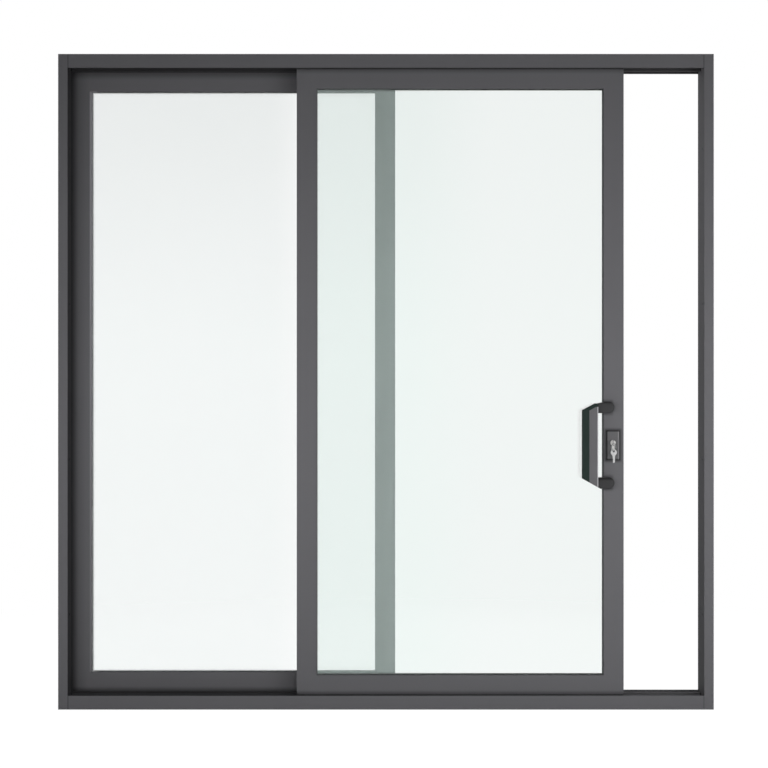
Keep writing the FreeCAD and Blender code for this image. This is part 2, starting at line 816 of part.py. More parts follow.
plug = new_body("key_plug")
plug_front = cylinder_front - named["plug_proud"]
disc = new_sketch(plug, "XZ_Plane", "disc")
bind(disc, "AttachmentOffset.Base.z", -plug_front)
add_circle(disc, (lock_x, plug_z), named["plug_radius"])
pad(plug, disc, named["plug_long"], reverse=True)
keyway = new_sketch(plug, "XZ_Plane", "keyway")
bind(keyway, "AttachmentOffset.Base.z", -plug_front)
slot_half = named["key_thick"] / 2 + named["blade_air"]
slot_tall = named["blade_tall"] / 2 + named["blade_air"]
add_box(keyway, (lock_x - slot_half, plug_z - slot_tall), (lock_x + slot_half, plug_z + slot_tall))
pocket(plug, keyway, named["blade_long"] - named["key_stop"])

# Keys, each drawn about the hole in its head with its blade along Y
head_far = named["key_head"] - named["key_hole_edge"]


def make_key(name):
    body = new_body(name)
    head = new_sketch(body, "YZ_Plane", "head")
    add_circle(head, (head_far - named["key_head"] / 2, 0), named["key_head"] / 2)
    pad(body, head, named["key_thick"], symmetric=True)
    blade = new_sketch(body, "YZ_Plane", "blade")
    half = named["blade_tall"] / 2
    tip = head_far + named["blade_long"]
    stop = named["key_stop"]
    collar = named["key_collar"]
    notch = half / 2
    step = named["blade_long"] / 8
    add_loop(
        blade,
        (
            (head_far - named["key_head"] / 4, -half - collar),
            (head_far + stop, -half - collar),
            (head_far + stop, -half),
            (tip - step, -half),
            (tip, 0),
            (tip - step, half),
            (tip - 2 * step, notch),
            (tip - 3 * step, half),
            (tip - 4 * step, notch),
            (tip - 5 * step, half),
            (head_far + stop, half),
            (head_far + stop, half + collar),
            (head_far - named["key_head"] / 4, half + collar),
        ),
    )
    pad(body, blade, named["key_thick"], symmetric=True)
    hole = new_sketch(body, "YZ_Plane", "hole")
    add_circle(hole, (0, 0), named["key_hole"] / 2)
    pocket(body, hole, 2 * named["key_thick"], symmetric=True)
    return body


hole_y = plug_front - named["key_stop"] - head_far
place(make_key("lock_key"), lock_x, hole_y, plug_z)
ring_wire = named["ring_wire"]
ring_top = plug_z - named["ring_drop"]
ring_low = ring_top - 2 * named["ring_radius"]
ring = new_body("key_ring")
hoop = new_sketch(ring, "XZ_Plane", "hoop")
for radius in (named["ring_radius"] + ring_wire / 2, named["ring_radius"] - ring_wire / 2):
    add_circle(hoop, (0, 0), radius)
pad(ring, hoop, ring_wire, symmetric=True)
ring.Placement.Rotation = Rotation(Vector(0, 0, 1), 45)
place(ring, lock_x, hole_y, ring_top - named["ring_radius"])
spare = make_key("spare_key")
spare.Placement.Rotation = Rotation(Vector(0, 1, 0), Vector(0, 0, -1), Vector(-1, 0, 0), "XYZ")
place(spare, lock_x, hole_y, ring_low - named["ring_drop"])

doc.recompute()
for item in doc.Objects:
    if "Invalid" in item.State or "Error" in item.State:
        raise RuntimeError(f"{item.Name} did not build: {item.State}")
for piece in pieces:
    if piece.Shape.isNull() or not piece.Shape.isValid():
        raise RuntimeError(f"{piece.Label} has no sound shape")
os.makedirs("parts", exist_ok=True)
for piece in pieces:
    piece.Shape.exportStep(f"parts/{piece.Label}.step")
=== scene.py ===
"""Looks of a glazed sliding patio door: paint, glass, metal, seals, screws and a small studio."""

import itertools
import math

import bpy
from bpy.props import FloatProperty, FloatVectorProperty, PointerProperty
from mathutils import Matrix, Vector


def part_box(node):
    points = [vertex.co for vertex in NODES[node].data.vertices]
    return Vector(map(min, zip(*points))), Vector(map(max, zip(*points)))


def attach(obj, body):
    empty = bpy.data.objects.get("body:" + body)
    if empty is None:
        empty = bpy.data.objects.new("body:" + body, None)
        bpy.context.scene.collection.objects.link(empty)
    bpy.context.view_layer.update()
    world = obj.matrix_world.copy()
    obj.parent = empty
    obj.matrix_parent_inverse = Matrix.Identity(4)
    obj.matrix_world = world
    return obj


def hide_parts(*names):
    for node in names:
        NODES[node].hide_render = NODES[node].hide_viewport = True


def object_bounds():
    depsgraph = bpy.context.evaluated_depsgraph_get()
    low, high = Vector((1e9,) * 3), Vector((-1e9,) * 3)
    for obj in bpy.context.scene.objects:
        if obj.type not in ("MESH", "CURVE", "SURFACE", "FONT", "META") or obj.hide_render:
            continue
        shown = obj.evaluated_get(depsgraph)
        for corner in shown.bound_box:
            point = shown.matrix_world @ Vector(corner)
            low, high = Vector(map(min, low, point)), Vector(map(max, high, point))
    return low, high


bl_info = {
    "name": "Patio Door Finishes",
    "version": (1, 0, 0),
    "blender": (4, 5, 0),
    "location": "View3D > Sidebar > Patio Door",
    "description": "Paints, glazes and lights a sliding patio door",
    "category": "Object",
}

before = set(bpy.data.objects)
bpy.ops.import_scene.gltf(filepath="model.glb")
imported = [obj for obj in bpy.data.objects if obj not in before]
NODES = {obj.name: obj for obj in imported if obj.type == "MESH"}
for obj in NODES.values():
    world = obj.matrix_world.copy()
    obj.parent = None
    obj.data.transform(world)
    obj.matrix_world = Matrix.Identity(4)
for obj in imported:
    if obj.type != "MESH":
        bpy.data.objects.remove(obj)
CAD_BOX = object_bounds()

STILES = (
    "fixed_meeting_stile",
    "fixed_interlock",
    "sliding_meeting_stile",
    "sliding_interlock",
)
FIXED_PANES = ("fixed_front_pane", "fixed_rear_pane")
SLIDING_PANES = ("sliding_front_pane", "sliding_rear_pane")
GASKETS = (
    "fixed_front_gasket",
    "fixed_rear_gasket",
    "sliding_front_gasket",
    "sliding_rear_gasket",
)
SPACERS = ("fixed_spacer_bar", "sliding_spacer_bar")

# Squeezes that make the drawn lines in the paint run up or across
UPRIGHT = (1, 1, 0.01)
LEVEL = (0.01, 1, 1)

# Slack when edges are picked by their place, and the part of a normal that counts as facing a way
NEAR = 1e-5
FACING = 0.9

# Sockets of a Mix node that is set to colours
MIX_FIRST, MIX_SECOND, MIX_RESULT = 6, 7, 2

# Where the soft step behind an outer side of a piece starts and ends
STEP_START, STEP_END = 0.0005, 0.0025

# Lines of painted shade in corners and along the frame's lips, one darker line at each end of the
# head and the sill, and one line of painted light on a gasket: how far in they start and end, and
# the share of the paint's tone at their start
SEAM = (0.0015, 0.0045, 0.60)
# Painted shade on the fixed outer stile, deepest next to the left jamb
JAMB_SHADE = ((0.0, 0.026, 0.36), (0.012, 0.062, 0.74))
# Painted shade on the panels under the head and over the sill
FIXED_UNDER_SHADE = (0.0, 0.030, 0.50)
FIXED_OVER_SHADE = (0.0, 0.020, 0.36)
SLIDING_UNDER_SHADE = (-0.003, 0.020, 0.56)
SLIDING_OVER_SHADE = (0.0, 0.018, 0.45)
# Painted light along the left leg of the fixed front gasket
GASKET_LIGHT = (0.020, 0.030, 6.0)

# Painted shade along the lock plate's edges and a painted highlight a little in from its right
# edge, in the same form, each after its axis and the way in from that side
PLATE_SHADE_AND_HIGHLIGHT = (
    ("X", 1, 0.0026, 0.0044, 0.32),
    ("Z", -1, 0.0024, 0.0040, 0.36),
    ("Z", 1, 0.0022, 0.0040, 0.46),
    ("X", -1, 0.0044, 0.0060, 1.8),
    ("X", -1, 0.0014, 0.0028, 0.30),
)

# Posts of the pull: the slope of the line that cuts them, its drop, and the painted shade under
# their top
POSTS = (
    ("upper_post", 0.20, 0.0005, (0.003, 0.008, 0.45)),
    ("lower_post", -0.5625, 0.0010, (0.005, 0.011, 0.25)),
)

# Painted shade round the lock's fittings on the stile: reach, tone, and how far short of the right
# end it stops
SHADE_HALOS = (
    ("lock_plate", 0.012, 0.40, 0.0),
    ("upper_post", 0.012, 0.58, 0.008),
    ("lower_post", 0.012, 0.58, 0.008),
)

# Painted shade on the frame's inner faces: the axis it runs along, where, and the tone at both ends
INNER_SHADE = {
    "left_jamb": ("Z", 0.0, 2.0, 0.25, 0.25),
    "right_jamb": ("Z", 0.3, 2.0, 0.52, 0.90),
    "head": ("X", -0.2, 0.7, 0.20, 0.28),
    "sill": ("X", -0.2, 0.7, 0.26, 0.62),
}

# Painted light along the inner edge of the fixed outer stile: its width, and its tones in the same
# form
RIM_LIGHT_WIDE = 0.0064
RIM_LIGHT_TONES = ("Z", 0.2, 2.0, 1.30, 2.0)

# Painted reflection on the glass: the share of light each pane throws back changes along X; how far
# that change takes, and the share before and after it
FIXED_PAINTED_REFLECTION = (0.16, 1.75, 0.25)
SLIDING_PAINTED_REFLECTION = (0.35, 1.0, 0.40)

# Lamps: place, aim, and width and height. Their power is a setting.
LAMPS = (
    ("strip", (0.9, -1.6, 0.91), (0.9, 0.0, 0.91), (5.0, 0.5)),
    ("key", (3.2, -3.0, 1.0), (0.8, 0.0, 1.0), (1.5, 1.5)),
    ("side", (-5.4, -2.6, 2.2), (0.0, 0.0, 1.05), (3.6, 3.6)),
    ("back", (0.6, 6.5, 1.5), (0.0, 0.0, 1.05), (3.0, 3.0)),
)

# Floor: its width, and how far under the door it lies
FLOOR_WIDE, FLOOR_DROP = 60.0, 0.0005

# Floor as the camera sees it: grey that takes the shadow, white added to it, plain white far off,
# and the squares of the distances between which it turns plain
SHADOW_GREY, NEAR_WHITE, PLAIN_WHITE = (0.12, 0.12, 0.12, 1.0), 0.96, 1.0
PLAIN_FROM, PLAIN_TO = 2.0, 9.0


# Settings


def colour_setting(name, description, default):
    """A colour that the sidebar shows as a swatch."""
    return FloatVectorProperty(
        name=name,
        description=description,
        subtype="COLOR",
        size=3,
        min=0.0,
        max=1.0,
        default=default,
    )


def length_setting(name, description, default):
    """A length in metres."""
    return FloatProperty(
        name=name, description=description, unit="LENGTH", min=0.0, default=default
    )


def share_setting(name, description, default):
    """A number from 0 to 1."""
    return FloatProperty(
        name=name, description=description, subtype="FACTOR", min=0.0, max=1.0, default=default
    )


def level_setting(name, description, default):
    """A level of light, where 1 is white."""
    return FloatProperty(name=name, description=description, default=default)


def power_setting(name, description, default):
    """The power of a lamp in watts."""
    return FloatProperty(name=name, description=description, subtype="POWER", default=default)


class PatioPaintSettings(bpy.types.PropertyGroup):
    """Colours and gloss of the painted metal."""

    coat: colour_setting("Coat", "Powder coat of the frame and the panels", (0.114, 0.113, 0.120))
    handle: colour_setting("Handle", "Paint of the pull handle", (0.098, 0.097, 0.102))
    # Painted shade: the grip's slanted side and top are made near black
    grip: colour_setting(
        "Grip", "Soft black coat on the grip's slanted side", (0.0165, 0.0275, 0.0240)
    )
    # Painted highlight: the colour of a light line along the grip's right edge
    glint: colour_setting("Glint", "Bare metal along the grip's worn edge", (0.42, 0.42, 0.43))
    # Painted shade: the posts are made dark to stand for the shade under the pull
    posts: colour_setting(
        "Posts", "Moulded cover of the two handle posts", (0.0220, 0.0220, 0.0232)
    )
    plate: colour_setting("Lock plate", "Paint of the lock plate", (0.107, 0.106, 0.110))
    roughness: share_setting("Roughness", "How matt the powder coat is", 0.70)
    peel: share_setting("Peel", "Strength of the fine orange peel in the coat", 0.16)


class PatioPullSettings(bpy.types.PropertyGroup):
    """Where the pull's painted shade and painted highlight lie."""

    side: length_setting("Side", "Width of the slanted side", 0.0220)
    end: length_setting("End", "Height of the slanted upper end", 0.0110)
    slant_in: length_setting("Slant across", "Slant of the upper end, across", 0.0410)
    slant_up: length_setting("Slant up", "Slant of the upper end, up", 0.0215)
    # Height of the painted shade along the upper slant
    band: length_setting("Slant band", "Height of the black coat along that slant", 0.0124)
    # Where the painted highlight along the grip's right edge starts, and where it is full
    glint_from: length_setting("Wear starts", "Inner edge to where the wear starts", 0.0030)
    glint_to: length_setting("Wear full", "Inner edge to where the metal is bare", 0.0016)


class PatioGlassSettings(bpy.types.PropertyGroup):
    """Tint and shine of the glazed units."""

    fixed_tint: colour_setting(
        "Fixed tint", "Light left after one face of a fixed pane", (0.989, 0.990, 0.990)
    )
    sliding_tint: colour_setting(
        "Sliding tint", "Light left after one face of a sliding pane", (0.9735, 0.9780, 0.9764)
    )
    fixed_gloss: colour_setting(
        "Fixed gloss", "Colour of what the fixed panes throw back", (0.90, 0.94, 0.93)
    )
    sliding_gloss: colour_setting(
        "Sliding gloss", "Colour of what the sliding panes throw back", (0.855, 1.0, 0.95)
    )
    shine: share_setting("Shine", "Light thrown back by one face, seen straight on", 0.096)
    gasket: colour_setting("Gasket", "Rubber round the glass", (0.050, 0.050, 0.052))
    pile: colour_setting("Pile", "Brush seals and sealant", (0.008, 0.008, 0.009))
    spacer: colour_setting("Spacer", "Bar between the panes", (0.17, 0.17, 0.175))


class PatioMetalSettings(bpy.types.PropertyGroup):
    """Bare metal and moulded pieces."""

    steel: colour_setting("Steel", "Wheels and screws", (0.52, 0.52, 0.53))
    nickel: colour_setting("Nickel", "Lock cylinder and plug", (0.70, 0.69, 0.68))
    key: colour_setting("Keys", "Keys and their ring", (0.60, 0.60, 0.60))
    nylon: colour_setting("Nylon", "Carriages and guides", (0.028, 0.028, 0.030))


class PatioTrimSettings(bpy.types.PropertyGroup):
    """Sizes of the small trim."""

    seal_tall: length_setting("Seal height", "Height of a brush seal's backing", 0.0070)
    seal_base: length_setting("Seal backing", "Thickness of a brush seal's backing", 0.0010)
    seal_pile: length_setting("Seal pile", "Length of the fibres", 0.0026)
    # The brush seals are real; they stand out past the lips so that their dark pile also stands for
    # the shade line under the head and over the sill
    seal_shows: length_setting(
        "Seal in sight", "How far a brush seal shows past the frame's lip", 0.0030
    )
    seal_short: length_setting(
        "Seal ends", "How far a brush seal stops short of the panel's edges", 0.0020
    )
    bead: length_setting("Sealant bead", "Width of the sealant round the fixed panel", 0.0030)
    post_edge: length_setting("Post edge", "Rounding of a post's front edge", 0.0045)
    # A thin black seal round the lock plate stands for the shadow line round it
    shadow_rim_wide: length_setting(
        "Plate seal width", "How far the seal shows round the lock plate", 0.0012
    )
    shadow_rim_proud: length_setting("Plate seal height", "How far that seal stands off the stile", 0.0010)
    screw_radius: length_setting("Screw head radius", "Radius of a corner screw's head", 0.0048)
    screw_proud: length_setting("Screw head height", "How far a screw's head stands out", 0.0012)
    screw_inset: length_setting("Screw inset", "Top or foot of the frame to a screw", 0.0120)
    screw_front: length_setting("Front screws", "Middle of the frame to the front screws", 0.0400)
    screw_rear: length_setting("Rear screws", "Middle of the frame to the rear screws", 0.0360)


class PatioStageSettings(bpy.types.PropertyGroup):
    """Camera, lamps and floor."""

    camera_place: FloatVectorProperty(
        name="Camera",
        description="Where the camera stands",
        subtype="TRANSLATION",
        size=3,
        default=(-0.0062, -5.885, 1.0429),
    )
    lens: FloatProperty(
        name="Lens", description="Focal length on a 36 mm sensor", unit="CAMERA", default=85.25
    )
    front: level_setting("Front light", "Level of the soft light in front", 0.065)
    rear: level_setting("Rear light", "Level of the soft light behind", 0.60)
    mirrored: level_setting("Mirrored ceiling", "Level that gloss and glass show from above", 0.80)
    strip: power_setting("Strip lamp", "Wide lamp in front of the door", 43.0)
    key: power_setting("Key lamp", "Lamp on the right, in front of the door", 24.0)
    side: power_setting("Side lamp", "Lamp on the left", 12.0)
    back: power_setting("Back lamp", "Lamp behind the door", 150.0)
    floor: colour_setting("Floor", "Plain pale floor", (0.80, 0.80, 0.80))


# Shader tools


class Wire:
    """An output socket; arithmetic on it adds Math nodes to its own tree."""

    def __init__(self, shader, socket):
        self.shader = shader
        self.socket = socket

    def _math(self, operation, first, second):
        return self.shader.node("ShaderNodeMath", {"operation": operation}, {0: first, 1: second})

    def __add__(self, other):
        return self._math("ADD", self, other)

    def __radd__(self, other):
        return self._math("ADD", other, self)

    def __sub__(self, other):
        return self._math("SUBTRACT", self, other)

    def __rsub__(self, other):
        return self._math("SUBTRACT", other, self)

    def __mul__(self, other):
        return self._math("MULTIPLY", self, other)

    def __rmul__(self, other):
        return self._math("MULTIPLY", other, self)

    def __pow__(self, other):
        return self._math("POWER", self, other)

    def __gt__(self, other):
        return self._math("GREATER_THAN", self, other)

    def __lt__(self, other):
        return self._math("LESS_THAN", self, other)

    def or_more(self, other):
        return self._math("MAXIMUM", self, other)


class Shader:
    """A node tree that is filled one node at a time."""

    def __init__(self, owner):
        owner.use_nodes = True
        self.owner = owner
        self.tree = owner.node_tree
        self.tree.nodes.clear()

    def node(self, kind, settings=None, sockets=None, out=0):
        """Adds a node with its settings and sockets, and gives one of its outputs."""
        made = self.tree.nodes.new(kind)
        for name, value in (settings or {}).items():
            setattr(made, name, value)
        for name, value in (sockets or {}).items():
            if isinstance(value, Wire):
                self.tree.links.new(value.socket, made.inputs[name])
            else:
                made.inputs[name].default_value = value
        return Wire(self, made.outputs[out]) if made.outputs else None

    def place(self):
        """Object coordinates, in metres."""
        return self.node("ShaderNodeTexCoord", out="Object")

    def stretched(self, place, scale):
        """Coordinates squeezed along each axis, so that a pattern runs along the small ones."""
        return self.node("ShaderNodeMapping", {}, {"Vector": place, "Scale": scale})

    def noise(self, place, scale, detail=2.0, roughness=0.5):
        """Soft noise from 0 to 1."""
        sockets = {"Vector": place, "Scale": scale, "Detail": detail, "Roughness": roughness}
        return self.node("ShaderNodeTexNoise", {}, sockets, "Fac")

    def axes(self, place):
        """The three coordinates as values."""
        split = self.node("ShaderNodeSeparateXYZ", {}, {"Vector": place})
        outputs = split.socket.node.outputs
        return tuple(Wire(self, outputs[name]) for name in ("X", "Y", "Z"))

    def toned(self, colour, tone):
        """A colour made lighter or darker by a value near 1."""
        return self.node(
            "ShaderNodeVectorMath", {"operation": "SCALE"}, {0: tuple(colour), "Scale": tone}
        )

    def blend(self, share, first, second):
        """A second colour over a first one by a share."""
        sockets = {"Factor": share, MIX_FIRST: first, MIX_SECOND: second}
        return self.node("ShaderNodeMix", {"data_type": "RGBA"}, sockets, MIX_RESULT)

    def rise(self, value, start, end, low, high):
        """A soft step from low at start to high at end."""
        sockets = {
            "Value": value,
            "From Min": start,
            "From Max": end,
            "To Min": low,
            "To Max": high,
        }
        return self.node("ShaderNodeMapRange", {"interpolation_type": "SMOOTHSTEP"}, sockets)

    def edge_light_and_shade(self, tone, place, painted_light_and_shade):
        """Painted shade along corners and edges, and painted light where a tone is above 1.

        Each line has an axis, where it starts and ends there, and the tone at its start.
        """
        axes = dict(zip("XYZ", self.axes(place)))
        for axis, start, end, low in painted_light_and_shade:
            tone = tone * self.rise(axes[axis], start, end, low, 1.0)
        return tone

    def shaded(self, tone, place, shades):
        """Painted shade where several soft steps meet, and painted light where its tone is above 1.

        Each shade has its steps, each an axis with where the step starts and ends, and then the
        axis along which its own tone runs, where that starts and ends, and the tone at both ends.
        """
        axes = dict(zip("XYZ", self.axes(place)))
        for steps, (along, *stops) in shades:
            share = 1.0 - self.rise(axes[along], *stops)
            for axis, start, end in steps:
                share = share * self.rise(axes[axis], start, end, 0.0, 1.0)
            tone = tone * (1.0 - share)
        return tone

    def bump(self, height, strength, distance):
        """A normal roughened by a height."""
        sockets = {"Height": height, "Strength": strength, "Distance": distance}
        return self.node("ShaderNodeBump", {}, sockets, "Normal")

    def surface(self, shader):
        """Sets what the material shows."""
        self.node("ShaderNodeOutputMaterial", {}, {"Surface": shader})
        return self.owner


def new_finish(name):
    return Shader(bpy.data.materials.new(name))


def dress(names, material):
    """Gives CAD nodes one material."""
    for name in names:
        mesh = NODES[name].data
        mesh.materials.clear()
        mesh.materials.append(material)


def inward(axis, at, way):
    """A soft step just behind an outer side of a piece."""
    return axis, at + STEP_START * way, at + STEP_END * way


def light_and_shade_line(axis, at, way, start, end, tone):
    """A line of painted shade along one side of a piece, by how far in from that side it starts and
    ends; a tone above 1 makes it painted light.
    """
    return axis, at + start * way, at + end * way, tone


def shade_halo(name, reach, tone, short):
    """Painted shade that deepens toward a fitting on a front face, held short of its right end."""
    low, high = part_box(name)
    steps = (
        ("X", low.x - reach, low.x),
        ("X", high.x - short + reach, high.x - short),
        ("Z", low.z - reach, low.z),
        ("Z", high.z + reach, high.z),
    )
    return steps, ("Z", low.z, high.z, tone, tone)


# Finishes


def powder_coat(name, colour, run, paint, painted_light_and_shade=(), shades=()):
    """Matt powder coat: fine peel, flecks, the faint lines that run along a drawn section, and
    painted light and shade along edges and over shaded faces.
    """
    coat = new_finish(name)
    place = coat.place()
    cloud = coat.noise(place, 2.3, 3.0)
    peel = coat.noise(place, 950.0, 2.0)
    fleck = coat.noise(place, 3600.0, 1.0)
    lines = coat.noise(coat.stretched(place, run), 420.0, 2.0)
    # Painted shade, and painted light where a tone is above 1: first lines along edges, then whole
    # shaded areas
    tone = coat.edge_light_and_shade(0.90 + 0.09 * cloud + 0.07 * fleck + 0.04 * lines, place, painted_light_and_shade)
    tone = coat.shaded(tone, place, shades)
    rough = paint.roughness - 0.08 + 0.10 * cloud + 0.06 * peel
    height = 0.75 * peel + 0.25 * lines
    return coat.surface(
        coat.node(
            "ShaderNodeBsdfPrincipled",
            {},
            {
                "Base Color": coat.toned(colour, tone),
                "Roughness": rough,
                "Specular IOR Level": 0.04,
                "Normal": coat.bump(height, paint.peel, 0.00012),
            },
        )
    )


def pull_paint_with_painted_light(paint, pull):
    """The pull's paint, with painted shade on its slanted left side and top, and a painted
    highlight along its right edge.
    """
    coat = new_finish("grip_paint")
    low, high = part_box("handle_bow")
    place = coat.place()
    x, _, z = coat.axes(place)
    rise = pull.slant_up / pull.slant_in
    # Painted shade on the faces that slant away from the light
    side = x < low.x + pull.side
    top = z - rise * x > high.z - pull.slant_up - rise * low.x - pull.band
    slanted = side.or_more(top).or_more(z > high.z - pull.end)
    # Painted highlight: a light line along the right edge, off the shaded faces
    glinting = coat.rise(x, high.x - pull.glint_from, high.x - pull.glint_to, 0.0, 1.0) * (1.0 - slanted)
    peel = coat.noise(place, 1300.0, 2.0)
    cloud = coat.noise(place, 14.0, 2.0)
    tone = 0.93 + 0.09 * cloud + 0.05 * peel
    painted = coat.blend(slanted, coat.toned(paint.handle, tone), coat.toned(paint.grip, tone))
    return coat.surface(
        coat.node(
            "ShaderNodeBsdfPrincipled",
            {},
            {
                "Base Color": coat.blend(glinting, painted, coat.toned(paint.glint, tone)),
                "Roughness": 0.42 + 0.10 * cloud + 0.12 * slanted,
                "Specular IOR Level": 0.15,
                "Normal": coat.bump(peel, 0.14, 0.0001),
            },
        )
    )


def brushed_metal(name, colour, run, roughness, grain):
    """Bare metal with fine lines from drawing or brushing, and cloudy handling marks."""
    metal = new_finish(name)
    place = metal.place()
    lines = metal.noise(metal.stretched(place, run), grain, 3.0, 0.6)
    cloud = metal.noise(place, 35.0, 3.0)
    tone = 0.86 + 0.16 * lines + 0.08 * cloud
    return metal.surface(
        metal.node(
            "ShaderNodeBsdfPrincipled",
            {},
            {
                "Base Color": metal.toned(colour, tone),
                "Metallic": 1.0,
                "Roughness": roughness + 0.14 * (lines - 0.5) + 0.10 * cloud,
                "Normal": metal.bump(lines, 0.10, 0.00006),
            },
        )
    )


def moulded(name, colour, roughness, grain, painted_light_and_shade=()):
    """Rubber or plastic with the fine grain of a mould and a dull bloom."""
    resin = new_finish(name)
    place = resin.place()
    skin = resin.noise(place, grain, 2.0, 0.6)
    bloom = resin.noise(place, 9.0, 4.0, 0.6)
    # Painted light and shade along edges, where some is given
    tone = resin.edge_light_and_shade(0.82 + 0.30 * bloom + 0.10 * skin, place, painted_light_and_shade)
    return resin.surface(
        resin.node(
            "ShaderNodeBsdfPrincipled",
            {},
            {
                "Base Color": resin.toned(colour, tone),
                "Roughness": roughness - 0.06 + 0.12 * bloom,
                "Specular IOR Level": 0.30,
                "Normal": resin.bump(skin, 0.20, 0.00015),
            },
        )
    )


def brush_fibre(colour):
    """Close pile: fine upright fibres."""
    pile = new_finish("seal_pile")
    place = pile.place()
    fibre = pile.noise(pile.stretched(place, (1.0, 0.05, 0.25)), 2600.0, 2.0, 0.7)
    tuft = pile.noise(place, 160.0, 3.0)
    tone = 0.55 + 0.60 * fibre + 0.25 * tuft
    return pile.surface(
        pile.node(
            "ShaderNodeBsdfPrincipled",
            {},
            {
                "Base Color": pile.toned(colour, tone),
                "Roughness": 0.82 + 0.12 * fibre,
                "Specular IOR Level": 0.15,
                "Sheen Weight": 0.25,
                "Normal": pile.bump(fibre, 0.55, 0.0004),
            },
        )
    )


def perforated_bar(colour):
    """Satin bar between the panes with its rows of breathing holes."""
    bar = new_finish("spacer_metal")
    place = bar.place()
    grid = {"Vector": place, "Scale": 240.0, "Randomness": 0.0}
    hole = bar.node("ShaderNodeTexVoronoi", {"feature": "F1"}, grid, "Distance") < 0.16
    cloud = bar.noise(place, 40.0, 2.0)
    tone = (0.90 + 0.20 * cloud) * (1.0 - 0.7 * hole)
    return bar.surface(
        bar.node(
            "ShaderNodeBsdfPrincipled",
            {},
            {
                "Base Color": bar.toned(colour, tone),
                "Metallic": 0.8,
                "Roughness": 0.38 + 0.10 * cloud,
                "Normal": bar.bump(1.0 - hole, 0.3, 0.0002),
            },
        )
    )


def clear_glass(name, tint, gleam, glass, reflection_change):
    """Clear float glass: each face throws back a little light, and more at a slant.

    The share of that light is painted to change along X: where the change starts and stops, and the
    share at both ends.
    """
    pane = new_finish(name)
    place = pane.place()
    slant = pane.node("ShaderNodeLayerWeight", {}, {"Blend": 0.5}, "Facing")
    film = pane.noise(place, 1.7, 4.0, 0.55)
    # Painted reflection: the pane throws back more or less light along X
    reflected_share = pane.rise(pane.axes(place)[0], *reflection_change)
    shine = glass.shine * reflected_share * (0.85 + 0.30 * film) + (1.0 - glass.shine) * slant**5.0
    through = pane.node("ShaderNodeBsdfTransparent", {}, {"Color": (*tint, 1.0)})
    gloss = pane.node("ShaderNodeBsdfGlossy", {}, {"Color": (*gleam, 1.0), "Roughness": 0.035})
    return pane.surface(pane.node("ShaderNodeMixShader", {}, {0: shine, 1: through, 2: gloss}))


# Mesh tools


def only(piece):
    """Selects one object and nothing else."""
    bpy.ops.object.select_all(action="DESELECT")
    piece.select_set(True)
    bpy.context.view_layer.objects.active = piece


def start_box(name, low, high):
    """A box between two corners, left in edit mode with nothing selected."""
    bpy.ops.object.select_all(action="DESELECT")
    middle = (Vector(low) + Vector(high)) / 2
    bpy.ops.mesh.primitive_cube_add(size=1.0, location=middle, scale=Vector(high) - Vector(low))
    piece = bpy.context.object
    piece.name = piece.data.name = name
    settle(piece)
    bpy.ops.object.mode_set(mode="EDIT")
    bpy.ops.mesh.select_all(action="DESELECT")
    return piece


def settle(piece):
    """Puts a piece's place and size into its mesh."""
    only(piece)
    bpy.ops.object.transform_apply(location=True, rotation=True, scale=True)


def choose_faces(piece, wanted):
    """Selects the faces that a test picks, from within edit mode."""
    bpy.ops.mesh.select_mode(type="FACE")
    bpy.ops.mesh.select_all(action="DESELECT")
    bpy.ops.object.mode_set(mode="OBJECT")
    for polygon in piece.data.polygons:
        polygon.select = bool(wanted(polygon))
    bpy.ops.object.mode_set(mode="EDIT")


def choose_edges(piece, wanted):
    """Selects the edges whose two ends a test picks, from within edit mode."""
    bpy.ops.mesh.select_mode(type="EDGE")
    bpy.ops.mesh.select_all(action="DESELECT")
    bpy.ops.object.mode_set(mode="OBJECT")
    points = piece.data.vertices
    for edge in piece.data.edges:
        edge.select = bool(wanted(*(points[end].co for end in edge.vertices)))
    bpy.ops.object.mode_set(mode="EDIT")


def cut_away(piece, tool):
    """Cuts one closed piece out of another and removes the tool."""
    only(piece)
    cut = piece.modifiers.new("cut", "BOOLEAN")
    cut.operation = "DIFFERENCE"
    cut.solver = "EXACT"
    cut.object = tool
    bpy.ops.object.modifier_apply(modifier=cut.name)
    bpy.data.objects.remove(tool)


def finish_piece(piece, material, body):
    """Shades a finished piece and hangs it on its body."""
    bpy.ops.object.mode_set(mode="OBJECT")
    only(piece)
    bpy.ops.object.shade_smooth_by_angle(angle=math.radians(35))
    piece.data.materials.clear()
    piece.data.materials.append(material)
    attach(piece, body)


def brush_seal(name, corner, length, trim):
    """A strip of pile on a flat backing that faces the front.

    The corner is the lower left one at the rear.
    """
    high = Vector(corner) + Vector((length, 0, trim.seal_tall))
    low = Vector(corner) - Vector((0, trim.seal_base, 0))
    edge, shoulder, tip = 0.22, 0.6, 0.55
    piece = start_box(name, low, high)
    choose_faces(piece, lambda polygon: polygon.normal.y < -FACING)
    bpy.ops.mesh.inset(thickness=trim.seal_tall * edge)
    for share in (shoulder, 1.0 - shoulder):
        reach = (0, -trim.seal_pile * share, 0)
        bpy.ops.mesh.extrude_region_move(TRANSFORM_OT_translate={"value": reach})
    bpy.ops.transform.resize(value=(1.0, 1.0, tip), center_override=(low + high) / 2)
    return piece


